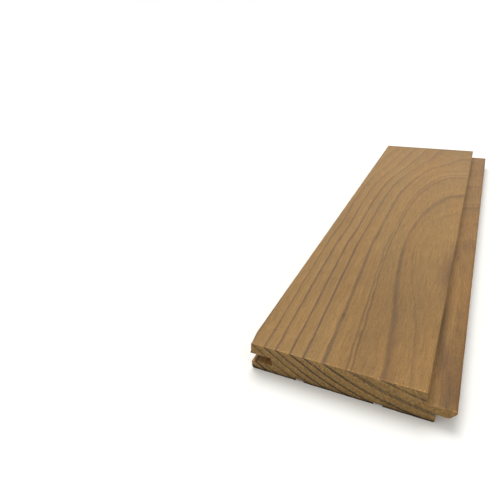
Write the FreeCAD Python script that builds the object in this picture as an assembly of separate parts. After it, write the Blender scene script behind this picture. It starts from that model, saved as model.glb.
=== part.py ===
import FreeCAD, Part
import math
import os

# Cladding board of heat-treated softwood, planed to a tongue and groove section with a shadow gap.
# Millimetres. X runs across the width towards the tongue, Y along the grain, and Z up to the face.
# The origin is on the back face, in the middle of the overall width and of the length.

# Overall sizes
board_length = 427.0
board_thickness = 20.0
cover_width = 110.0          # from one laid board's groove edge to the next one's

# Joint between two laid boards
shadow_gap = 5.5             # open strip on the face, beside the tongue
joint_gap = 1.0              # room at the back of the joint, for the wood to swell
tongue_clearance = 0.3       # above and below the tongue in its groove
groove_end_room = 4.2        # from the tongue's tip to the foot of the groove

# Tongue
tongue_depth = 8.1           # from the face down to the tongue's top
tongue_thickness = 5.6
tongue_reach = 10.0          # out of the lower shoulder
tip_flat = 1.0               # upright strip at the tip, above the lead-in bevel
bevel_width = 3.4            # lead-in bevel under the tip

# Groove
lower_lip_setback = 1.0      # the back lip stops this short of the face lip
groove_foot_slant = 1.0      # the foot is this much deeper at its lower corner

# Relief grooves along the back
relief_count = 2
relief_offset = 33.0         # from the groove edge to the middle of the first one
relief_spacing = 47.0
relief_width = 5.6           # at the mouth
relief_depth = 1.6
relief_side_slant = 0.4

# Rounded corners of the section
arris_radius = 0.5           # planed edges of the face, the lips and the tongue
back_corner_radius = 1.5
inner_radius = 0.4           # left in every inside corner by the cutters

# Places across the width, from the groove edge
upper_shoulder = cover_width - shadow_gap
lower_shoulder = cover_width + lower_lip_setback - joint_gap
tongue_tip = lower_shoulder + tongue_reach
groove_foot_top = tongue_tip - cover_width + groove_end_room
groove_foot_bottom = groove_foot_top + groove_foot_slant

# Heights above the back
tongue_top = board_thickness - tongue_depth
tongue_under = tongue_top - tongue_thickness
groove_ceiling = tongue_top + tongue_clearance
groove_floor = tongue_under - tongue_clearance


def relief_corners(middle):
    """Corners of one relief groove in the back, from the groove side to the tongue side."""
    mouth = relief_width / 2
    roof = mouth - relief_side_slant
    return [
        (middle - mouth, 0.0, inner_radius),
        (middle - roof, relief_depth, inner_radius),
        (middle + roof, relief_depth, inner_radius),
        (middle + mouth, 0.0, inner_radius),
    ]


def section_corners():
    """Corners of the section as (across, height, radius), anticlockwise seen along +Y."""
    corners = [(lower_lip_setback, 0.0, back_corner_radius)]
    for number in range(relief_count):
        corners += relief_corners(relief_offset + number * relief_spacing)
    corners += [
        (lower_shoulder, 0.0, back_corner_radius),
        (lower_shoulder, tongue_under, inner_radius),
        (tongue_tip - bevel_width, tongue_under, arris_radius),
        (tongue_tip, tongue_top - tip_flat, arris_radius),
        (tongue_tip, tongue_top, arris_radius),
        (upper_shoulder, tongue_top, inner_radius),
        (upper_shoulder, board_thickness, arris_radius),
        (0.0, board_thickness, arris_radius),
        (0.0, groove_ceiling, arris_radius),
        (groove_foot_top, groove_ceiling, inner_radius),
        (groove_foot_bottom, groove_floor, inner_radius),
        (lower_lip_setback, groove_floor, arris_radius),
    ]
    return corners


def rounded_wire(corners, place):
    """Closed wire through the corners, each replaced by an arc that is tangent to both its sides."""
    points = [place(across, height) for across, height, radius in corners]
    edges = []
    arc_ends = []
    for index, point in enumerate(points):
        back = (points[index - 1] - point).normalize()
        ahead = (points[(index + 1) % len(points)] - point).normalize()
        half_angle = back.getAngle(ahead) / 2
        radius = corners[index][2]
        start = point + back * (radius / math.tan(half_angle))
        end = point + ahead * (radius / math.tan(half_angle))
        bisector = (back + ahead).normalize()
        middle = point + bisector * (radius / math.sin(half_angle) - radius)
        arc_ends.append((start, middle, end))
    for index, (start, middle, end) in enumerate(arc_ends):
        edges.append(Part.LineSegment(arc_ends[index - 1][2], start).toShape())
        edges.append(Part.Arc(start, middle, end).toShape())
    return Part.Wire(edges)


def make_board():
    """The section, carried along the whole length."""
    def front_end(across, height):
        return FreeCAD.Vector(across - tongue_tip / 2, -board_length / 2, height)

    section = Part.Face(rounded_wire(section_corners(), front_end))
    return section.extrude(FreeCAD.Vector(0, board_length, 0))


os.makedirs("parts", exist_ok=True)
make_board().exportStep("parts/board.step")
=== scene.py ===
import math
import bpy
import numpy as np
from mathutils import Matrix, Vector
from mathutils.geometry import delaunay_2d_cdt


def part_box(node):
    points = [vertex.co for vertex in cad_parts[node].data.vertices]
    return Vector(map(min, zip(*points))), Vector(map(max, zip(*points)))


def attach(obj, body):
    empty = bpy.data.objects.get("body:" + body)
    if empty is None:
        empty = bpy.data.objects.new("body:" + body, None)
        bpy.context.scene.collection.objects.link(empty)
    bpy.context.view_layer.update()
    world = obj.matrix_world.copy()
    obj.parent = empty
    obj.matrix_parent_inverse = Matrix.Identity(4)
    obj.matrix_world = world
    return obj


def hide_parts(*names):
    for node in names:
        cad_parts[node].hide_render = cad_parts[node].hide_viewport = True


# Short length of tongue and groove cladding, planed from heat-treated softwood, with sawn ends.
# Shapes and grain are worked out in millimetres: across from the groove edge, along from the
# front end, and up from the back or from the face. They go into metres at the frame's place last.

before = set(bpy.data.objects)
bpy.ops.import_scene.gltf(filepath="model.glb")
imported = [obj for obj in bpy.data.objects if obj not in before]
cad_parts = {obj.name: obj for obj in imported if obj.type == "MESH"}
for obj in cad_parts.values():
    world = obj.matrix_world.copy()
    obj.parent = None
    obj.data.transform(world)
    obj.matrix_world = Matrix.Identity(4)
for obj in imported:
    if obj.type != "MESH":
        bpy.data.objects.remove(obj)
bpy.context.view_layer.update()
boardLow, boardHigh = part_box("board")
mm = 0.001
boardWidth, boardLength, boardThickness = (boardHigh - boardLow) / mm
print("frame loaded: board", round(boardWidth, 2), round(boardLength, 2), round(boardThickness, 2))


# Board

boardShape = {
    "coverWidth": 110.0,         # what a laid board covers, with its shadow gap
    "shadowGap": 5.5,            # open strip on the face, beside the tongue
    "lipSetback": 1.0,           # back lip behind the face lip
    "tongueDepth": 8.1,          # face to tongue top
    "tongueThickness": 5.6,
    "tongueReach": 10.0,         # out of the lower shoulder
    "tipFlat": 1.0,              # upright strip at the tip, above the bevel
    "bevelWidth": 3.4,           # under the tip
    "grooveClearance": 0.3,      # the groove reaches this much above and below the tongue's faces
    "footDepthTop": 14.2,        # groove depth at its ceiling
    "footDepthBottom": 15.2,     # and at its floor
    "reliefMiddles": (33.0, 80.0),
    "reliefWidth": 5.6,          # at the mouth
    "reliefDepth": 1.6,
    "reliefSlant": 0.4,          # how much narrower its roof is on each side
    "arrisRadius": 0.5,          # planed edges
    "backRadius": 1.5,           # corners of the back
    "innerRadius": 0.4,          # inside corners
    "arcSteps": 5,               # points in each rounded corner
    "outlineSpacing": 1.6,       # points along the flats
    "stationSpacing": 1.5,       # rings along the board
    "endSpacing": 0.25,          # first ring behind a sawn end
    "capSpacing": 0.75,          # points in a sawn end
    "capRowShare": 0.87,         # their rows are this much closer
    "sharpAngle": 38.0,          # degrees between faces, past which an edge stays sharp
}

boardWear = {
    "arrisDepth": 0.10,          # nicks and rubbing on the planed edges
    "arrisReach": 0.8,
    # long and short nicks: length, rows of noise from one edge to the next, seed and share
    "nicks": ((6.0, 7.0, 5, 0.7), (1.7, 5.0, 6, 0.3)),
    "chipSize": 1.4,             # broken corner at the front of the groove side
    "chipHeight": 12.0,
    "chipLength": 8.0,
    "chipRest": 0.10,            # the share of it that stays rubbed further along
    "chipRestLength": 48.0,
    "chipUneven": 0.15,          # share of its size that lumps change
    "chipLump": (1.3, 1.1),      # how big these are, along and up
    "chipSeed": 9,
    "sawDepth": 0.12,            # tooth marks in the ends
    "sawPitch": 1.9,
    "sawLean": 0.35,             # radians that the marks lean off upright
    "sawPatch": 9.0,             # size of the patches where they are deeper or shallower
    "sawUneven": 0.4,            # share of their depth that these patches change
    "sawWaver": 2.5,             # radians that these patches shift them
    "roughDepth": 0.14,          # torn fibres in the ends
    "roughSize": 1.1,
    "endSeeds": (21, 31),        # front end and far end
}


def unitRows(rows):
    # each row divided by its own length
    return rows / np.linalg.norm(rows, axis=-1, keepdims=True)


def sectionCorners(shape):
    # corners of the section as (across, up, radius), anticlockwise seen from the front end
    under = boardThickness - shape["tongueDepth"] - shape["tongueThickness"]
    top = boardThickness - shape["tongueDepth"]
    upperShoulder = shape["coverWidth"] - shape["shadowGap"]
    lowerShoulder = boardWidth - shape["tongueReach"]
    ceiling = top + shape["grooveClearance"]
    floor = under - shape["grooveClearance"]
    arris, inner, back = shape["arrisRadius"], shape["innerRadius"], shape["backRadius"]
    corners = [(shape["lipSetback"], 0, back)]
    for middle in shape["reliefMiddles"]:
        mouth = shape["reliefWidth"] / 2
        roof = mouth - shape["reliefSlant"]
        corners += [(middle - mouth, 0, inner), (middle - roof, shape["reliefDepth"], inner)]
        corners += [(middle + roof, shape["reliefDepth"], inner), (middle + mouth, 0, inner)]
    corners += [(lowerShoulder, 0, back), (lowerShoulder, under, inner)]
    corners += [(boardWidth - shape["bevelWidth"], under, arris)]
    corners += [(boardWidth, top - shape["tipFlat"], arris), (boardWidth, top, arris)]
    corners += [(upperShoulder, top, inner), (upperShoulder, boardThickness, arris)]
    corners += [(0, boardThickness, arris), (0, ceiling, arris)]
    corners += [(shape["footDepthTop"], ceiling, inner), (shape["footDepthBottom"], floor, inner)]
    corners += [(shape["lipSetback"], floor, arris)]
    return np.array(corners, float)


def roundedOutline(corners, arcSteps, spacing):
    # a corner p of radius r becomes an arc about p + bisector * r / sin(half the angle),
    # and each flat between two arcs is cut into equal steps no longer than the spacing
    place, radius = corners[:, :2], corners[:, 2:]
    back = unitRows(np.roll(place, 1, 0) - place)
    ahead = unitRows(np.roll(place, -1, 0) - place)
    half = np.arccos((back * ahead).sum(1, keepdims=True)) / 2
    centre = place + unitRows(back + ahead) * radius / np.sin(half)
    start = place + back * radius / np.tan(half) - centre
    end = place + ahead * radius / np.tan(half) - centre
    first = np.arctan2(start[:, 1], start[:, 0])
    sweep = np.arctan2(end[:, 1], end[:, 0]) - first
    sweep = (sweep + np.pi) % (2 * np.pi) - np.pi
    angle = first[:, None] + sweep[:, None] * np.linspace(0, 1, arcSteps)
    arcs = centre[:, None] + radius[:, None] * np.stack([np.cos(angle), np.sin(angle)], -1)
    points = np.concatenate([arcs.reshape(-1, 2), arcs[0, :1]])
    reach = np.concatenate([[0], np.cumsum(np.linalg.norm(np.diff(points, axis=0), axis=1))])
    flatStart = reach[arcSteps - 1 :: arcSteps]
    flatLength = reach[arcSteps::arcSteps] - flatStart
    steps = np.ceil(flatLength / spacing).astype(int)
    which = np.repeat(np.arange(len(steps)), steps - 1)
    count = np.arange(len(which)) - np.repeat(np.cumsum(steps - 1) - (steps - 1), steps - 1) + 1
    extra = flatStart[which] + flatLength[which] * count / steps[which]
    everywhere = np.sort(np.concatenate([reach[:-1], extra]))
    return np.stack([np.interp(everywhere, reach, points[:, k]) for k in (0, 1)], -1)


def outwardNormals(outline):
    # the direction from the point before to the point after, turned a quarter clockwise
    along = unitRows(np.roll(outline, -1, 0) - np.roll(outline, 1, 0))
    return np.stack([along[:, 1], -along[:, 0]], -1)


def softNoise(u, v, seed):
    # random values on whole numbers of u and v, blended smoothly between them, from -1 to 1
    repeat = 64
    table = np.random.default_rng(seed).uniform(-1, 1, (repeat, repeat))
    u0, v0 = np.floor(u).astype(int), np.floor(v).astype(int)
    fu, fv = u - u0, v - v0
    fu, fv = fu * fu * (3 - 2 * fu), fv * fv * (3 - 2 * fv)

    def corner(du, dv):
        return table[(u0 + du) % repeat, (v0 + dv) % repeat]

    low = corner(0, 0) * (1 - fu) + corner(1, 0) * fu
    high = corner(0, 1) * (1 - fu) + corner(1, 1) * fu
    return low * (1 - fv) + high * fv


def stationPlaces(shape):
    # even rings along the board, and from each sawn end three that double their distance to it
    near = shape["endSpacing"] * 2.0 ** np.arange(3)
    middle = np.linspace(shape["stationSpacing"], boardLength - shape["stationSpacing"],
                         int(boardLength / shape["stationSpacing"]) - 1)
    return np.concatenate([[0], near, middle, boardLength - near[::-1], [boardLength]])


def endRelief(across, up, wear, seed):
    # how deep a point of a sawn end lies: a leaning sine wave of tooth marks, whose depth and
    # place come and go, plus the square of a noise for torn fibres; it never stands proud
    lean = across * math.cos(wear["sawLean"]) + up * math.sin(wear["sawLean"])
    patch = softNoise(across / wear["sawPatch"], up / wear["sawPatch"], seed)
    turn = 2 * np.pi * lean / wear["sawPitch"] + wear["sawWaver"] * patch
    marks = (1 + np.sin(turn)) / 2 * (1 - wear["sawUneven"] + wear["sawUneven"] * patch)
    torn = (1 + softNoise(across / wear["roughSize"], up / wear["roughSize"], seed + 1)) / 2
    return wear["sawDepth"] * marks + wear["roughDepth"] * torn ** 2


def wornSides(outline, stations, corners, wear):
    # outline carried along the stations, each point sunk along its normal by the rubbing of
    # the edges, and then moved out of the chip at the front corner of the groove side
    normal = outwardNormals(outline)
    alongGrid = stations[:, None]
    grid = np.repeat(outline[None], len(stations), 0)
    sharp = corners[corners[:, 2] == boardShape["arrisRadius"], :2]
    toEdge = np.linalg.norm(outline[:, None] - sharp, axis=2)
    nearest = toEdge.argmin(1)
    rubbed = 1.0
    for length, rows, seed, amount in wear["nicks"]:
        rubbed = rubbed + amount * softNoise(alongGrid / length, nearest[None] * rows, seed)
    rubbed = rubbed * np.exp(-(toEdge.min(1) / wear["arrisReach"]) ** 2) * wear["arrisDepth"]
    grid -= rubbed[..., None] * normal
    # the chip is a slanted cut whose width across shrinks downwards and along the board
    size = np.exp(-(alongGrid / wear["chipLength"]) ** 2)
    size = size + wear["chipRest"] * np.exp(-alongGrid / wear["chipRestLength"])
    lumpAlong, lumpUp = wear["chipLump"]
    uneven = softNoise(alongGrid / lumpAlong, outline[None, :, 1] / lumpUp, wear["chipSeed"])
    uneven = 1 + wear["chipUneven"] * uneven
    slant = np.array([1 / wear["chipSize"], -1 / wear["chipHeight"]])
    inside = ((grid - [0, boardThickness]) * slant).sum(-1)
    push = np.clip(size * uneven - inside, 0, None) / (slant ** 2).sum()
    return grid + push[..., None] * slant


def capPoints(ring, shape):
    # staggered rows of points that lie inside the ring, clear of its edge by half their spacing
    spacing = shape["capSpacing"]
    low, high = ring.min(0), ring.max(0)
    rows = np.arange(low[1], high[1], spacing * shape["capRowShare"])
    columns = np.arange(low[0], high[0], spacing)
    across = columns[None] + spacing / 2 * (np.arange(len(rows)) % 2)[:, None]
    points = np.stack([across, np.repeat(rows[:, None], len(columns), 1)], -1).reshape(-1, 1, 2)
    after = np.roll(ring, -1, 0)
    side = after - ring
    share = np.clip(((points - ring) * side).sum(2) / (side ** 2).sum(1), 0, 1)
    gap = np.linalg.norm(points - ring - share[..., None] * side, axis=2).min(1)
    spans = (ring[:, 1] > points[..., 1]) != (after[:, 1] > points[..., 1])
    rise = np.where(side[:, 1] == 0, 1, side[:, 1])
    crossing = ring[:, 0] + (points[..., 1] - ring[:, 1]) / rise * side[:, 0]
    inside = (spans & (points[..., 0] < crossing)).sum(1) % 2 == 1
    return points[inside & (gap > spacing / 2), 0]


def sawnCap(ring, shape):
    # triangles over one end, anticlockwise seen from the front, whose first points are the ring
    points = np.concatenate([ring, capPoints(ring, shape)])
    outlineFace = [list(range(len(ring)))]
    insideOnly, mergeDistance = 1, 1e-5
    made = delaunay_2d_cdt(points.tolist(), [], outlineFace, insideOnly, mergeDistance)
    if len(made[0]) != len(points):
        raise ValueError("the end's points were merged: " + str((len(made[0]), len(points))))
    return points[len(ring):], np.array(made[2])


def makeBoard():
    # the section's outline carried along the stations, and a cap on each end that starts from
    # the outline's own points, so that the mesh is closed
    corners = sectionCorners(boardShape)
    outline = roundedOutline(corners, boardShape["arcSteps"], boardShape["outlineSpacing"])
    stations = stationPlaces(boardShape)
    sides = wornSides(outline, stations, corners, boardWear)
    ringCount, stationCount = len(outline), len(stations)
    frontInner, frontFaces = sawnCap(sides[0], boardShape)
    backInner, backFaces = sawnCap(sides[-1], boardShape)
    frontSeed, backSeed = boardWear["endSeeds"]
    along = np.repeat(stations[:, None], ringCount, 1)
    along[0] += endRelief(*sides[0].T, boardWear, frontSeed)
    along[-1] -= endRelief(*sides[-1].T, boardWear, backSeed)
    frontAlong = endRelief(*frontInner.T, boardWear, frontSeed)
    backAlong = boardLength - endRelief(*backInner.T, boardWear, backSeed)
    across = np.concatenate([sides[..., 0].ravel(), frontInner[:, 0], backInner[:, 0]])
    up = np.concatenate([sides[..., 1].ravel(), frontInner[:, 1], backInner[:, 1]])
    lengthwise = np.concatenate([along.ravel(), frontAlong, backAlong])
    points = np.stack([across, lengthwise, up], -1) * mm + np.array(boardLow)

    ring = np.arange(ringCount)
    start = np.arange(stationCount - 1)[:, None] * ringCount
    here, ahead = start + ring, start + np.roll(ring, -1)
    sideFaces = np.stack([here, here + ringCount, ahead + ringCount, ahead], -1).reshape(-1, 4)
    innerStart = stationCount * ringCount
    frontFaces = np.where(frontFaces < ringCount, frontFaces, frontFaces - ringCount + innerStart)
    backStart = innerStart + len(frontInner)
    lastRing = innerStart - ringCount
    backFaces = np.where(backFaces < ringCount, backFaces + lastRing,
                         backFaces - ringCount + backStart)[:, ::-1]
    faces = sideFaces.tolist() + frontFaces.tolist() + backFaces.tolist()
    mesh = bpy.data.meshes.new("planedBoard")
    mesh.from_pydata(points.tolist(), [], faces)
    sawn = np.zeros(len(faces), int)  # material 0 on the planed sides, 1 on the sawn ends
    sawn[len(sideFaces):] = 1
    mesh.polygons.foreach_set("material_index", sawn)
    mesh.polygons.foreach_set("use_smooth", np.ones(len(faces), bool))
    mesh.update()
    mesh.set_sharp_from_angle(angle=math.radians(boardShape["sharpAngle"]))
    piece = bpy.data.objects.new("planedBoard", mesh)
    bpy.context.scene.collection.objects.link(piece)
    triangles = len(sideFaces) * 2 + len(frontFaces) + len(backFaces)
    print("board mesh:", len(points), "points,", triangles, "triangles")
    return piece


# Wood

grain = {
    # the log's bent middle line, across and above the face: the value at bendMiddle, then what
    # the first, second and third power of the distance from there adds, in steps of bendStep
    "bendMiddle": 150.0,
    "bendStep": 100.0,
    "pithAcross": (133.0, -6.9, -2.05, 0.0),
    "pithAbove": (171.3, 3.1, 2.25, 0.34),
    # swellings of the rings: how much, then middle and reach across, along and above the face
    "swellings": (
        (-5.0, (79.0, 23.5), (164.0, 86.0), (0.0, 90.0)),
        (-2.2, (114.0, 14.0), (130.0, 88.0), (-9.0, 5.0)),
        (-0.8, (32.0, 24.0), (147.0, 20.0), (0.0, 30.0)),
        (-6.8, (80.0, 55.0), (430.0, 33.0), (0.0, 60.0)),
        (1.2, (12.0, 18.0), (170.0, 45.0), (0.0, 30.0)),
        (0.6, (5.0, 6.0), (192.0, 20.0), (0.0, 30.0)),
        (-0.5, (38.0, 14.0), (190.0, 22.0), (0.0, 30.0)),
        (1.6, (22.0, 22.0), (343.0, 32.0), (0.0, 30.0)),
        (-1.5, (50.0, 20.0), (268.0, 50.0), (0.0, 30.0)),
        (-1.3, (70.0, 16.0), (328.0, 38.0), (0.0, 30.0)),
        (-1.9, (104.0, 28.0), (384.0, 25.0), (0.0, 60.0)),
        (-0.6, (92.0, 18.0), (260.0, 22.0), (0.0, 60.0)),
        (-0.8, (88.0, 8.0), (322.0, 14.0), (0.0, 30.0)),
        (-0.7, (50.0, 60.0), (0.0, 40.0), (-14.0, 10.0)),
        (0.9, (122.0, 7.0), (5.0, 40.0), (-8.0, 6.0)),
    ),
    "firstRadius": 155.0,
    # growth rings outwards from there: width, then how dark their late wood is, how thick it
    # is, and how far it fades towards the middle
    "rings": (
        (6.0, 0.60, 0.50, 1.0), (5.6, 0.60, 0.50, 1.0), (5.3, 0.35, 0.60, 2.4),
        (4.3, 0.36, 0.20, 0.4), (4.3, 0.58, 0.60, 1.8), (6.1, 0.72, 0.35, 0.5),
        (1.2, 0.68, 0.40, 0.6), (6.3, 0.70, 0.85, 1.1), (5.8, 0.92, 0.55, 0.7),
        (4.6, 0.95, 0.55, 0.7), (5.2, 0.86, 0.55, 0.9), (4.4, 0.74, 0.50, 0.7),
        (5.3, 0.65, 0.45, 0.9), (5.4, 0.60, 0.40, 0.9), (4.0, 1.00, 0.80, 0.8),
        (4.4, 1.00, 0.80, 0.8), (4.6, 0.80, 0.60, 0.8), (4.5, 0.90, 0.60, 0.8),
        (4.6, 0.80, 0.60, 0.8), (4.4, 0.80, 0.60, 0.8),
    ),
    "mostFade": 4.0,                  # no fade or width in that list is above these
    "mostWidth": 8.0,
    "tail": 0.30,                     # a second, slower fade towards the middle
    "tailLength": 1.8,
    "edgeBlur": (0.1, 0.325),         # a ring's outer edge: millimetres, plus this times its fade
    "rimLength": 1.0,                 # first millimetres of early wood outside a ring's edge
    "blurFrom": 90.0,                 # rings seen on the faces blur from here to there
    "blurTo": 290.0,
    "blurSlant": 2.0,                 # millimetres of it where they stand upright, none where flat
    "farFade": 0.55,                  # and their fade shrinks to this share of itself there
    "wander": 0.35,                   # how far broad noise carries the rings
    "wanderSize": (34.0, 110.0, 34.0),
    "tremble": 0.28,                  # and how far fine noise does
    "trembleSize": (8.0, 16.0, 8.0),
    "uneven": 0.22,                   # how much a ring's darkness comes and goes
    "unevenSize": (10.0, 30.0, 10.0),
    "lineSize": (0.9, 120.0, 90.0),   # thin lines along the rings: thickness, length and width
}

# small dark spots on the face: across, along, half width, half length, strength
faceSpots = (
    (46.5, 48.0, 1.0, 3.5, 0.30),
    (60.5, 33.0, 0.9, 4.0, 0.28),
    (16.0, 367.0, 1.0, 4.0, 0.20),
    (42.0, 378.0, 1.0, 3.0, 0.18),
    (70.0, 386.0, 1.2, 4.0, 0.22),
    (70.0, 408.0, 1.3, 4.0, 0.22),
)

faceTones = {
    "early": (0.307, 0.171, 0.051),
    "late": (0.136, 0.074, 0.031),
    "warm": (1.03, 0.985, 0.94),      # times the wood, where it is warmer
    "grey": (0.975, 1.005, 1.05),     # and where it is greyer
    "tintSize": (26.0, 100.0, 26.0),
    # times the wood round a place: the colour, then middle and reach across, along and above the face
    "tints": (
        ((1.04, 1.08, 1.18), (18.0, 2.2), (170.0, 38.0), (0.0, 2.5)),
        ((1.045, 1.01, 1.01), (90.0, 16.0), (20.0, 45.0), (0.0, 2.5)),
        ((0.97, 0.98, 1.00), (16.0, 16.0), (160.0, 70.0), (0.0, 2.5)),
        ((0.98, 1.01, 1.06), (10.0, 18.0), (12.0, 35.0), (0.0, 2.5)),
        ((0.89, 0.95, 1.08), (112.0, 8.0), (4.0, 12.0), (-8.1, 2.0)),
    ),
    "softening": 1.0,                 # times the blur of the far rings
    "thickening": 0.0,                # millimetres added to late wood
    "fading": 1.0,                    # times its fade towards the middle
    "fadeFrom": 272.0,                # late wood shows less from here
    "fadeTo": 332.0,
    "backShare": 0.52,                # to this much of it
    # darker and paler stains: how dark, then middle and reach across, along and above the face;
    # the last one is painted light: paler along the foot of the shoulder, against the shade it casts on
    # the tongue
    "stainsAndRootLight": (
        (0.15, (88.0, 24.0), (60.0, 105.0), (0.0, 30.0)),
        (0.14, (67.0, 11.0), (50.0, 100.0), (0.0, 30.0)),
        (-0.06, (40.0, 60.0), (345.0, 60.0), (0.0, 6.0)),
        (0.04, (54.0, 26.0), (95.0, 70.0), (0.0, 6.0)),
        (0.06, (60.0, 16.0), (388.0, 30.0), (0.0, 6.0)),
        (-0.09, (98.0, 7.0), (12.0, 32.0), (0.0, 2.5)),
        (-0.07, (99.0, 7.0), (230.0, 55.0), (0.0, 2.5)),
        (0.09, (38.0, 16.0), (90.0, 45.0), (0.0, 30.0)),
        (-0.05, (86.0, 14.0), (345.0, 22.0), (0.0, 2.5)),
        # painted light: a paler strip at the foot of the shoulder, where its shade falls
        (-0.16, (104.3, 1.3), (200.0, 400.0), (-8.1, 1.0)),
    ),
    # and those on top of the tongue, in the same way, but for the height; one of them is painted shade
    # in the corner at the tongue's root
    "tongueStainsAndRootShade": (
        (-0.22, (110.5, 2.6), (82.0, 50.0)),
        (-0.10, (110.8, 2.0), (50.0, 14.0)),
        (0.11, (116.0, 4.0), (60.0, 25.0)),
        (0.15, (113.6, 2.6), (4.0, 9.0)),
        (-0.10, (109.2, 1.4), (5.0, 9.0)),
        (0.07, (109.5, 2.0), (33.0, 7.0)),
        (0.10, (107.0, 1.5), (25.0, 11.0)),
        (-0.11, (112.3, 2.0), (31.0, 11.0)),
        (-0.09, (109.8, 1.5), (58.0, 12.0)),
        (-0.08, (109.8, 1.5), (135.0, 24.0)),
        (-0.13, (118.0, 2.2), (15.0, 8.0)),
        (0.24, (119.0, 1.6), (390.0, 30.0)),
        (0.16, (114.5, 1.6), (84.0, 5.0)),
        (0.09, (114.0, 1.4), (70.0, 11.0)),
        # painted shade in the corner at the tongue's root, with the dark spots there
        (0.22, (105.6, 0.9), (78.0, 22.0)),
        (0.06, (112.0, 6.0), (194.0, 2.0)),
        (0.07, (111.0, 6.0), (203.0, 3.0)),
        (0.07, (111.0, 6.0), (251.0, 2.5)),
        (0.09, (111.0, 6.0), (263.0, 3.5)),
        (0.09, (112.0, 8.0), (327.0, 3.5)),
        (0.06, (112.0, 8.0), (363.0, 3.0)),
        (0.07, (112.0, 8.0), (377.0, 3.5)),
    ),
    "tongueStainReach": 2.0,          # up and down from the top of the tongue
    "smudge": 0.78,                   # grey patch at the shoulder
    "smudgeAcross": (104.5, 6.8),
    "smudgeAlong": (127.0, 31.0),
    "spotDepth": 2.5,                 # how far the patch and the spots go down
    "frontHighlightAndFibres": 0.14,                 # painted highlight, and paler fibres, right at the front end's edge
    "rimReach": 1.1,
    "torn": 0.55,                     # and torn ones here and there
    "tornNoise": ((1.6, 2.5, 1.6), 1.0, 4.0),  # size, detail and shift
    "tornRange": (0.56, 0.66),
    "backRim": (0.88, 0.82, 0.68),    # times the wood at the far end's edge
    "backRimReach": 4.5,
    "shoulderBlur": 0.5,              # millimetres each way, from face to tongue
    "tongueToneAndShade": (0.92, 0.885, 0.88),  # times the wood on the tongue: a redder tone, and painted shade from the shoulder
    "tongueShare": 0.45,              # late wood left on it, away from the front
    "tongueFrom": 40.0,
    "tongueTo": 110.0,
    "arris": (0.86, 0.76, 0.58),      # times the wood on the rubbed outer edge of the tongue
    "arrisReach": 1.5,
    "chatter": 0.055,                 # marks across the tongue
    "chatterPitch": 5.2,
    "chatterWaver": 0.6,              # pitches that noise shifts them
    "chatterAlong": (220.0, 60.0),
}

# noise on the planed faces: size across, along and up, detail, shift, and how much it lightens
faceNoise = {
    "fibre": ((0.5, 12.0, 0.5), 3.0, 0.0, 0.13),
    "fleck": ((0.8, 2.0, 0.8), 2.0, 23.0, 0.115),
    "thread": ((1.2, 22.0, 1.2), 3.0, 11.0, 0.11),
    "streak": ((2.6, 55.0, 2.6), 3.0, 7.0, 0.04),
    "mottle": ((6.0, 14.0, 6.0), 2.0, 17.0, 0.035),
    "patch": ((18.0, 40.0, 18.0), 2.0, 3.0, 0.03),
}
faceRings = {"line": 0.075, "rim": 0.075, "tone": 0.05}
poreNoise = {"noise": ((0.8, 5.0, 0.8), 1.0, 13.0), "from": 0.60, "to": 0.72, "amount": 0.18}
planedFinish = {
    "roughness": 0.52,
    "roughnessChange": 0.06,
    "specular": 0.22,
    "bump": 0.00004,                  # metres that the relief stands for
    "lateRelief": 0.5,                # late wood stands up, and so do the fibres
    "fibreRelief": 0.5,
    "poreRelief": -0.8,
}

endTones = {
    "early": (0.322, 0.192, 0.069),
    "late": (0.060, 0.047, 0.034),
    "warm": (1.05, 0.99, 0.90),
    "grey": (0.95, 1.01, 1.08),
    "tintSize": (2.6, 3.0, 2.6),
    "softening": 0.0,                 # as on the planed faces
    "thickening": 0.45,
    "fading": 0.45,
    "shadeDownwards": 0.08,                # painted shade: how much darker it gets from the face down to the back
    "lowerEdgeShade": 0.86,                # and painted shade right at the bottom edge, by the floor
    "lowerReach": 1.6,
    "lowerRagged": 0.6,               # how much the speckle breaks that edge up
}

# noise on the sawn ends, in the same way, with the tooth marks turned by an angle
endNoise = {
    "speckle": ((1.5, 3.0, 1.5), 3.0, 0.0, 0.32),
    "dots": ((0.7, 2.0, 0.7), 2.0, 5.0, 0.22),
    "blotch": ((3.0, 3.0, 2.4), 2.0, 12.0, 0.12),
    "patch": ((9.0, 9.0, 5.0), 2.0, 9.0, 0.08),
}
toothNoise = {"turn": (0.0, 0.45, 0.0), "noise": ((0.8, 4.0, 14.0), 2.0, 2.0), "amount": 0.12}
endRings = {"line": 0.06, "rim": 0.08}
sawnFinish = {
    "roughness": 0.85,
    "roughnessChange": 0.08,
    "specular": 0.2,
    "bump": 0.00012,
    "toothRelief": 1.0,
    "speckleRelief": 0.5,
    "dotRelief": 0.5,
}
noiseRange = (0.28, 0.72)             # nearly all of the noise texture's values lie in here
hueRange = (0.35, 0.65)               # and they turn the wood from warm to grey over this part


def addNode(tree, kind, inputs=(), **settings):
    # a node with its settings, and a value or a link for each named or numbered input
    node = tree.nodes.new(kind)
    for name, value in settings.items():
        setattr(node, name, value)
    for name, value in dict(inputs).items():
        if isinstance(value, bpy.types.NodeSocket):
            tree.links.new(value, node.inputs[name])
        else:
            node.inputs[name].default_value = value
    return node


def calc(tree, operation, *values):
    # a Math node on the values, each a number or a socket
    return addNode(tree, "ShaderNodeMath", enumerate(values), operation=operation).outputs[0]


def vectorCalc(tree, operation, *values):
    # the same for a Vector Math node
    return addNode(tree, "ShaderNodeVectorMath", enumerate(values), operation=operation).outputs[0]


def scaled(tree, vector, factor):
    # the vector or colour times a number
    inputs = {0: vector, "Scale": factor}
    return addNode(tree, "ShaderNodeVectorMath", inputs, operation="SCALE").outputs[0]


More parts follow.
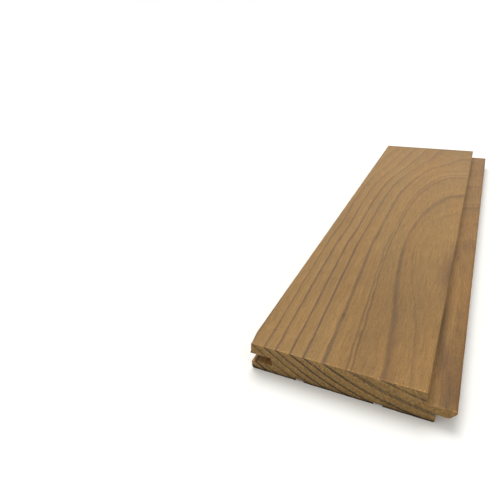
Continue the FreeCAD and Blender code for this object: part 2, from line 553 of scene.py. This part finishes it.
def remap(tree, value, low, high, newLow, newHigh, smooth=False):
    # from low..high to newLow..newHigh, held at the ends
    kind = "SMOOTHSTEP" if smooth else "LINEAR"
    inputs = {"Value": value, 1: low, 2: high, 3: newLow, 4: newHigh}
    return addNode(tree, "ShaderNodeMapRange", inputs, interpolation_type=kind).outputs[0]


def blend(tree, share, first, second):
    # colours or grey sockets, mixed by share
    return addNode(tree, "ShaderNodeMix", {0: share, 6: first, 7: second}, data_type="RGBA").outputs[2]


def weighted(tree, *parts):
    # the sum of each value times its weight
    total = 0.0
    for value, weight in parts:
        total = calc(tree, "MULTIPLY_ADD", value, weight, total)
    return total


def powerSeries(tree, terms, value):
    # terms[0] + terms[1] * value + terms[2] * value squared, and so on
    total = terms[-1]
    for term in reversed(terms[:-1]):
        total = calc(tree, "MULTIPLY_ADD", total, value, term)
    return total


def bell(tree, value, middle, reach):
    # e to the power of minus the square of the distance from the middle, in reaches
    offset = calc(tree, "DIVIDE", calc(tree, "SUBTRACT", value, middle), reach)
    squared = calc(tree, "MULTIPLY", offset, offset)
    return calc(tree, "EXPONENT", calc(tree, "MULTIPLY", squared, -1.0))


def bellPatch(tree, amount, *bells):
    # the amount times a bell of each value, given as (value, (middle, reach))
    for value, (middle, reach) in bells:
        amount = calc(tree, "MULTIPLY", amount, bell(tree, value, middle, reach))
    return amount


def noiseAt(tree, place, size, detail, shift=0.0, output="Fac"):
    # noise whose lumps are about size millimetres across, along and up
    scale = tuple(1 / side for side in size)
    settings = {0: place, "Location": (shift, shift, shift), "Scale": scale}
    mapped = addNode(tree, "ShaderNodeMapping", settings).outputs[0]
    settings = {0: mapped, "Scale": 1.0, "Detail": detail}
    return addNode(tree, "ShaderNodeTexNoise", settings).outputs[output]


def signedNoise(tree, place, size, detail, shift=0.0):
    # the same noise, stretched to run from about -1 to 1
    return remap(tree, noiseAt(tree, place, size, detail, shift), *noiseRange, -1.0, 1.0)


def jitter(tree, place, size, detail, amount):
    # a vector of up to about the amount each way: three times the amount, as the noise strays
    # from its middle by about a third
    noise = noiseAt(tree, place, size, detail, output="Color")
    offset = vectorCalc(tree, "SUBTRACT", noise, (0.5, 0.5, 0.5))
    return scaled(tree, offset, 3 * amount)


def makeGrainGroup():
    # solid wood: a point's distance from the log's bent middle line gives its growth ring,
    # and how far it lies from that ring's outer edge gives the step from early to late wood
    tree = bpy.data.node_groups.new("heatTreatedGrain", "ShaderNodeTree")
    names = ("Across", "Along", "Above", "Late", "Rim", "Ring Tone", "Ring Line")
    for name in names:
        tree.interface.new_socket(name, in_out="OUTPUT", socket_type="NodeSocketFloat")
    tree.interface.new_socket("Place", in_out="OUTPUT", socket_type="NodeSocketVector")
    for name in ("Softening", "Thickening", "Fading"):
        tree.interface.new_socket(name, in_out="INPUT", socket_type="NodeSocketFloat")
    output = tree.nodes.new("NodeGroupOutput")
    softening, thickening, fading = tree.nodes.new("NodeGroupInput").outputs[:3]
    coordinates = addNode(tree, "ShaderNodeTexCoord")
    # metres in the frame become millimetres from the groove edge, the front end and the face
    origin = (-boardLow.x / mm, -boardLow.y / mm, -boardHigh.z / mm)
    settings = {0: coordinates.outputs["Object"], "Location": origin, "Scale": (1 / mm, 1 / mm, 1 / mm)}
    place = addNode(tree, "ShaderNodeMapping", settings).outputs[0]
    plain = addNode(tree, "ShaderNodeSeparateXYZ", {0: place}).outputs
    wide = jitter(tree, place, grain["wanderSize"], detail=1.0, amount=grain["wander"])
    fine = jitter(tree, place, grain["trembleSize"], detail=2.0, amount=grain["tremble"])
    wandered = vectorCalc(tree, "ADD", vectorCalc(tree, "ADD", place, wide), fine)
    across, along, above = addNode(tree, "ShaderNodeSeparateXYZ", {0: wandered}).outputs

    step = calc(tree, "DIVIDE", calc(tree, "SUBTRACT", along, grain["bendMiddle"]), grain["bendStep"])
    sideways = calc(tree, "SUBTRACT", across, powerSeries(tree, grain["pithAcross"], step))
    upward = calc(tree, "SUBTRACT", above, powerSeries(tree, grain["pithAbove"], step))
    squared = calc(tree, "MULTIPLY_ADD", sideways, sideways, calc(tree, "MULTIPLY", upward, upward))
    radius = calc(tree, "SQRT", squared)
    for amount, *bells in grain["swellings"]:
        size = bellPatch(tree, amount, *zip((across, along, above), bells))
        radius = calc(tree, "ADD", radius, size)

    # a curve turns the radius into a count of rings, straight between one ring's edges
    widths = np.array([ring[0] for ring in grain["rings"]])
    edges = grain["firstRadius"] + np.concatenate([[0], np.cumsum(widths)])
    ringCount = len(widths)
    share = remap(tree, radius, edges[0], edges[-1], 0.0, 1.0)
    curve = addNode(tree, "ShaderNodeFloatCurve", {"Value": share})
    line = curve.mapping.curves[0]
    for number, edge in enumerate(edges[1:-1], 1):
        line.points.new((edge - edges[0]) / (edges[-1] - edges[0]), number / ringCount)
    for point in line.points:
        point.handle_type = "VECTOR"
    curve.mapping.update()
    ring = calc(tree, "MULTIPLY", curve.outputs[0], float(ringCount))
    within = calc(tree, "FRACT", ring)
    number = calc(tree, "FLOOR", ring)
    chance = addNode(tree, "ShaderNodeTexWhiteNoise", {"W": number}, noise_dimensions="1D")
    tone = chance.outputs["Value"]

    # a stepped ramp hands out each ring's darkness, thickness, fade and width
    middle = calc(tree, "ADD", number, 0.5)
    lookup = calc(tree, "DIVIDE", middle, float(ringCount))
    table = addNode(tree, "ShaderNodeValToRGB", {0: lookup})
    table.color_ramp.interpolation = "CONSTANT"
    elements = table.color_ramp.elements
    while len(elements) < ringCount:
        elements.new(1.0)
    for index, (width, darkness, thickness, fade) in enumerate(grain["rings"]):
        element = elements[index]
        element.position = index / ringCount
        element.color = (darkness, thickness, fade / grain["mostFade"], width / grain["mostWidth"])
    darkness, thickness, fade = addNode(tree, "ShaderNodeSeparateColor", {0: table.outputs[0]}).outputs
    width = calc(tree, "MULTIPLY", table.outputs[1], grain["mostWidth"])
    fade = calc(tree, "MULTIPLY", calc(tree, "MULTIPLY", fade, grain["mostFade"]), fading)
    inward = calc(tree, "MULTIPLY", calc(tree, "SUBTRACT", 1.0, within), width)
    outward = calc(tree, "MULTIPLY", within, width)

    # late wood is full up to its thickness, fades inwards from there, and ends at its outer edge
    blur = remap(tree, along, grain["blurFrom"], grain["blurTo"], 0.0, 1.0, smooth=True)
    fade = calc(tree, "MULTIPLY", fade, remap(tree, blur, 0.0, 1.0, 1.0, grain["farFade"]))
    slant = calc(tree, "DIVIDE", calc(tree, "ABSOLUTE", sideways), radius)
    blur = calc(tree, "MULTIPLY", blur, calc(tree, "MULTIPLY", slant, grain["blurSlant"]))
    blur = calc(tree, "MULTIPLY", softening, blur)
    thickness = calc(tree, "ADD", thickness, thickening)
    fadeEnd = calc(tree, "ADD", calc(tree, "ADD", thickness, fade), blur)
    late = remap(tree, inward, thickness, fadeEnd, 1.0, 0.0, smooth=True)
    tail = calc(tree, "EXPONENT", calc(tree, "DIVIDE", inward, -grain["tailLength"]))
    late = calc(tree, "MAXIMUM", late, calc(tree, "MULTIPLY", tail, grain["tail"]))
    blurFixed, blurShare = grain["edgeBlur"]
    outerEdge = calc(tree, "MULTIPLY_ADD", fade, blurShare, blurFixed)
    outerEdge = calc(tree, "ADD", outerEdge, blur)
    late = calc(tree, "MULTIPLY", late, remap(tree, inward, 0.0, outerEdge, 0.0, 1.0))
    uneven = signedNoise(tree, place, grain["unevenSize"], detail=2.0)
    darkness = calc(tree, "MULTIPLY", darkness, calc(tree, "MULTIPLY_ADD", uneven, grain["uneven"], 1.0))
    late = calc(tree, "MULTIPLY", late, darkness)
    rim = calc(tree, "EXPONENT", calc(tree, "DIVIDE", outward, -grain["rimLength"]))

    thin = addNode(tree, "ShaderNodeCombineXYZ", {0: radius, 1: along, 2: across}).outputs[0]
    ringLine = signedNoise(tree, thin, grain["lineSize"], detail=3.0)
    for name, socket in zip(names, (*plain, late, rim, tone, ringLine)):
        tree.links.new(socket, output.inputs[name])
    tree.links.new(place, output.inputs["Place"])
    return tree


def shaded(tree, colour, *parts):
    # the colour times (1 + amount * value) for each value and its amount
    total = 1.0
    for value, amount in parts:
        total = calc(tree, "MULTIPLY", total, calc(tree, "MULTIPLY_ADD", value, amount, 1.0))
    return scaled(tree, colour, total)


def tinted(tree, colour, share, tint):
    # the colour times the tint, as far as the share goes
    factor = blend(tree, share, (1, 1, 1, 1), (*tint, 1))
    return vectorCalc(tree, "MULTIPLY", colour, factor)


def mottled(tree, colour, place, tones):
    # the colour, here and there warmer or greyer
    hue = remap(tree, noiseAt(tree, place, tones["tintSize"], detail=2.0), *hueRange, 0.0, 1.0)
    tint = blend(tree, hue, (*tones["warm"], 1), (*tones["grey"], 1))
    return vectorCalc(tree, "MULTIPLY", colour, tint)


def newWood(name, finish):
    # a new material, with its node tree and its shader
    material = bpy.data.materials.new(name)
    material.use_nodes = True
    tree = material.node_tree
    shader = tree.nodes["Principled BSDF"]
    shader.inputs["Specular IOR Level"].default_value = finish["specular"]
    return material, tree, shader


def finishWood(tree, shader, finish, colour, relief):
    # the colour, and roughness and bump that both follow the relief, from about -1 to 1
    roughness = calc(tree, "MULTIPLY_ADD", relief, -finish["roughnessChange"], finish["roughness"])
    settings = {"Height": relief, "Distance": finish["bump"], "Strength": 1.0}
    bump = addNode(tree, "ShaderNodeBump", settings)
    tree.links.new(colour, shader.inputs["Base Color"])
    tree.links.new(roughness, shader.inputs["Roughness"])
    tree.links.new(bump.outputs[0], shader.inputs["Normal"])


def grainOutputs(tree, grainGroup, tones):
    # the outputs of a new group node that is set as the tones say
    group = addNode(tree, "ShaderNodeGroup", node_tree=grainGroup)
    group.inputs["Softening"].default_value = tones["softening"]
    group.inputs["Fading"].default_value = tones["fading"]
    group.inputs["Thickening"].default_value = tones["thickening"]
    return group.outputs


def makePlanedMaterial(grainGroup):
    # planed faces: early wood darkened by the late wood, thin lines along the rings, fibres,
    # pores, broad changes of tone, the patches and spots of this one board, and painted light and shade
    # at the front edge, the shoulder's foot and on the tongue
    material, tree, shader = newWood("planedSoftwood", planedFinish)
    wood = grainOutputs(tree, grainGroup, faceTones)
    across, along, above, place = wood["Across"], wood["Along"], wood["Above"], wood["Place"]
    tones = faceTones
    shoulder = boardShape["coverWidth"] - boardShape["shadowGap"]
    fromFace, toTongue = shoulder - tones["shoulderBlur"], shoulder + tones["shoulderBlur"]
    onTongue = remap(tree, across, fromFace, toTongue, 0.0, 1.0)
    onFace = bell(tree, above, 0.0, tones["spotDepth"])
    share = remap(tree, along, tones["fadeFrom"], tones["fadeTo"], 1.0, tones["backShare"], smooth=True)
    late = calc(tree, "MULTIPLY", wood["Late"], share)
    fadedTongue = remap(tree, along, tones["tongueFrom"], tones["tongueTo"], 0.0, 1.0, smooth=True)
    fadedTongue = calc(tree, "MULTIPLY", fadedTongue, onTongue)
    late = calc(tree, "MULTIPLY", late, remap(tree, fadedTongue, 0.0, 1.0, 1.0, tones["tongueShare"]))
    bells = (across, tones["smudgeAcross"]), (along, tones["smudgeAlong"])
    smudge = bellPatch(tree, tones["smudge"], *bells)
    late = calc(tree, "MAXIMUM", late, calc(tree, "MULTIPLY", smudge, onFace))
    colour = blend(tree, late, (*tones["early"], 1), (*tones["late"], 1))
    colour = mottled(tree, colour, place, tones)
    for tint, *bells in tones["tints"]:
        share = bellPatch(tree, 1.0, *zip((across, along, above), bells))
        colour = tinted(tree, colour, share, tint)

    noises = {name: signedNoise(tree, place, *settings[:3]) for name, settings in faceNoise.items()}
    parts = [(noises[name], settings[3]) for name, settings in faceNoise.items()]
    pores = noiseAt(tree, place, *poreNoise["noise"])
    pores = remap(tree, pores, poreNoise["from"], poreNoise["to"], 0.0, 1.0, smooth=True)
    tone = calc(tree, "SUBTRACT", wood["Ring Tone"], 0.5)  # from -0.5 to 0.5
    parts += [(pores, -poreNoise["amount"]), (wood["Ring Line"], faceRings["line"]),
              (wood["Rim"], faceRings["rim"]), (tone, faceRings["tone"])]
    colour = shaded(tree, colour, *parts)

    # stains on the faces, and the painted light at the foot of the shoulder
    for amount, *bells in tones["stainsAndRootLight"]:
        stainAndRootShading = bellPatch(tree, amount, *zip((across, along, above), bells))
        colour = shaded(tree, colour, (stainAndRootShading, -1.0))
    # on top of the tongue: stains, and painted shade at its root
    onTop = bell(tree, above, -boardShape["tongueDepth"], tones["tongueStainReach"])
    for amount, *bells in tones["tongueStainsAndRootShade"]:
        stainAndRootShading = bellPatch(tree, amount, *zip((across, along), bells))
        colour = shaded(tree, colour, (calc(tree, "MULTIPLY", stainAndRootShading, onTop), -1.0))

    # painted highlight along the front end's edge, with paler torn fibres here and there
    sawnRim = bell(tree, along, 0.0, tones["rimReach"])
    torn = remap(tree, noiseAt(tree, place, *tones["tornNoise"]), *tones["tornRange"], 0.0, 1.0)
    arris = bell(tree, across, boardWidth, tones["arrisReach"])
    wave = calc(tree, "DIVIDE", along, tones["chatterPitch"])
    wave = calc(tree, "MULTIPLY_ADD", noises["streak"], tones["chatterWaver"], wave)
    wave = calc(tree, "SINE", calc(tree, "MULTIPLY", wave, 2 * math.pi))
    chatter = bellPatch(tree, calc(tree, "MULTIPLY", wave, onTongue), (along, tones["chatterAlong"]))
    colour = shaded(tree, colour, (sawnRim, tones["frontHighlightAndFibres"]),
                    (calc(tree, "MULTIPLY", sawnRim, torn), tones["torn"]),
                    (chatter, tones["chatter"]))
    # the tongue redder and darker: its own tone, and painted shade from the shoulder
    colour = tinted(tree, colour, onTongue, tones["tongueToneAndShade"])
    colour = tinted(tree, colour, arris, tones["arris"])
    backRim = bell(tree, along, boardLength, tones["backRimReach"])
    colour = tinted(tree, colour, backRim, tones["backRim"])
    spots = 0.0
    for spotAcross, spotAlong, halfWidth, halfLength, amount in faceSpots:
        bells = (across, (spotAcross, halfWidth)), (along, (spotAlong, halfLength))
        spot = bellPatch(tree, amount, *bells)
        spots = calc(tree, "ADD", spots, spot)
    colour = shaded(tree, colour, (calc(tree, "MULTIPLY", spots, onFace), -1.0))

    relief = weighted(tree, (noises["fibre"], planedFinish["fibreRelief"]),
                      (late, planedFinish["lateRelief"]), (pores, planedFinish["poreRelief"]))
    finishWood(tree, shader, planedFinish, colour, relief)
    return material


def makeSawnMaterial(grainGroup):
    # sawn ends: the same rings cut across, with speckled open fibres, leaning tooth marks, and painted
    # shade towards the bottom edge
    material, tree, shader = newWood("sawnEndGrain", sawnFinish)
    wood = grainOutputs(tree, grainGroup, endTones)
    above, place = wood["Above"], wood["Place"]
    colour = blend(tree, wood["Late"], (*endTones["early"], 1), (*endTones["late"], 1))
    colour = mottled(tree, colour, place, endTones)
    noises = {name: signedNoise(tree, place, *settings[:3]) for name, settings in endNoise.items()}
    parts = [(noises[name], settings[3]) for name, settings in endNoise.items()]
    turned = addNode(tree, "ShaderNodeMapping", {0: place, "Rotation": toothNoise["turn"]}).outputs[0]
    tooth = signedNoise(tree, turned, *toothNoise["noise"])
    # painted shade, darker from the face down to the back, and most of all at the bottom edge
    depth = calc(tree, "DIVIDE", above, -boardThickness)
    ragged = calc(tree, "MULTIPLY_ADD", noises["speckle"], endTones["lowerRagged"], 1.0)
    lowerEdgeShade = bellPatch(tree, ragged, (above, (-boardThickness, endTones["lowerReach"])))
    parts += [(tooth, toothNoise["amount"]), (wood["Ring Line"], endRings["line"]),
              (wood["Rim"], endRings["rim"]), (depth, -endTones["shadeDownwards"]),
              (lowerEdgeShade, -endTones["lowerEdgeShade"])]
    colour = shaded(tree, colour, *parts)
    relief = weighted(tree, (tooth, sawnFinish["toothRelief"]),
                      (noises["dots"], sawnFinish["dotRelief"]),
                      (noises["speckle"], sawnFinish["speckleRelief"]))
    finishWood(tree, shader, sawnFinish, colour, relief)
    return material


grainGroup = makeGrainGroup()
planedFace = makePlanedMaterial(grainGroup)
sawnEnd = makeSawnMaterial(grainGroup)
print("materials made")

planedBoard = makeBoard()
planedBoard.data.materials.append(planedFace)
planedBoard.data.materials.append(sawnEnd)
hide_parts("board")
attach(planedBoard, "root")
print("board made")


# Studio

studio = {
    "floorReach": 15.0,
    "floorHeight": 0.00005,      # just above the board's back face, so that they share no plane
    "floorTone": 0.75,           # what the board gets back from the floor
    "floorSeen": (1.0, 1.0, 0.965),  # what the camera sees of it
    "floorLift": 0.025,          # and how much lighter it sees the shadow there
    "skyLight": 0.68,            # world strength on the object
    "sunPower": 1.50,
    "sunSpread": 36.0,           # degrees across, for soft shadows
    "sunFrom": (-0.22, 0.42, 1.0),
    "sunDistance": 2.0,
}

camera = {
    "place": (0.0446, -0.3968, 0.2043),
    "right": (0.8952, 0.4408, -0.0657),
    "forward": (-0.4138, 0.7671, -0.4903),
    "lens": 31.94,               # millimetres, for a picture as wide as the sensor
    "sensor": 36.0,
    "nearest": 0.01,             # metres, where the view starts
}


def makeFloor():
    # a flat square round the origin that the camera sees paler than the board does
    reach, height = studio["floorReach"], studio["floorHeight"]
    corners = [(-reach, -reach, height), (reach, -reach, height),
               (reach, reach, height), (-reach, reach, height)]
    mesh = bpy.data.meshes.new("studioFloor")
    mesh.from_pydata(corners, [], [(0, 1, 2, 3)])
    floor = bpy.data.objects.new("studioFloor", mesh)
    bpy.context.scene.collection.objects.link(floor)
    material = bpy.data.materials.new("paleFloor")
    material.use_nodes = True
    tree = material.node_tree
    shader = tree.nodes["Principled BSDF"]
    shader.inputs["Roughness"].default_value = 1.0
    shader.inputs["Specular IOR Level"].default_value = 0.0
    path = addNode(tree, "ShaderNodeLightPath")
    seen = path.outputs["Is Camera Ray"]
    tone = blend(tree, seen, (*[studio["floorTone"]] * 3, 1), (*studio["floorSeen"], 1))
    tree.links.new(tone, shader.inputs["Base Color"])
    shader.inputs["Emission Color"].default_value = (1, 1, 1, 1)
    tree.links.new(calc(tree, "MULTIPLY", seen, studio["floorLift"]), shader.inputs["Emission Strength"])
    # clear from below, so that the back of the board shows
    below = addNode(tree, "ShaderNodeNewGeometry").outputs["Backfacing"]
    clear = addNode(tree, "ShaderNodeBsdfTransparent").outputs[0]
    surface = addNode(tree, "ShaderNodeMixShader", {0: below, 1: shader.outputs[0], 2: clear})
    tree.links.new(surface.outputs[0], tree.nodes["Material Output"].inputs["Surface"])
    mesh.materials.append(material)


def makeSky():
    # even light from all sides, behind a background that shows white
    world = bpy.data.worlds.new("softStudio")
    bpy.context.scene.world = world
    world.use_nodes = True
    tree = world.node_tree
    background = tree.nodes["Background"]
    background.inputs["Color"].default_value = (1, 1, 1, 1)
    path = addNode(tree, "ShaderNodeLightPath")
    seen = calc(tree, "MAXIMUM", path.outputs["Is Camera Ray"], path.outputs["Is Glossy Ray"])
    seen = calc(tree, "MAXIMUM", seen, path.outputs["Is Transmission Ray"])
    strength = remap(tree, seen, 0.0, 1.0, studio["skyLight"], 1.0)
    tree.links.new(strength, background.inputs["Strength"])


def makeSun():
    # one broad lamp from behind on the left, for the soft shadow
    lamp = bpy.data.lights.new("softSun", "SUN")
    lamp.angle = math.radians(studio["sunSpread"])
    lamp.energy = studio["sunPower"]
    sun = bpy.data.objects.new("softSun", lamp)
    sun.location = Vector(studio["sunFrom"]).normalized() * studio["sunDistance"]
    sun.rotation_euler = Vector(studio["sunFrom"]).to_track_quat("Z", "Y").to_euler()
    bpy.context.scene.collection.objects.link(sun)


def makeCamera():
    # at its place, with up square to the directions that it looks and that lie to its right
    view = bpy.data.cameras.new("productView")
    view.lens = camera["lens"]
    view.sensor_width = camera["sensor"]
    view.clip_start = camera["nearest"]
    right = Vector(camera["right"]).normalized()
    forward = Vector(camera["forward"]).normalized()
    up = right.cross(forward)
    turn = Matrix((right, up, -forward)).transposed().to_4x4()
    holder = bpy.data.objects.new("productView", view)
    holder.matrix_world = Matrix.Translation(camera["place"]) @ turn
    bpy.context.scene.collection.objects.link(holder)
    bpy.context.scene.camera = holder


makeFloor()
makeSky()
makeSun()
makeCamera()
bpy.context.scene.view_settings.view_transform = "Standard"
print("studio made")
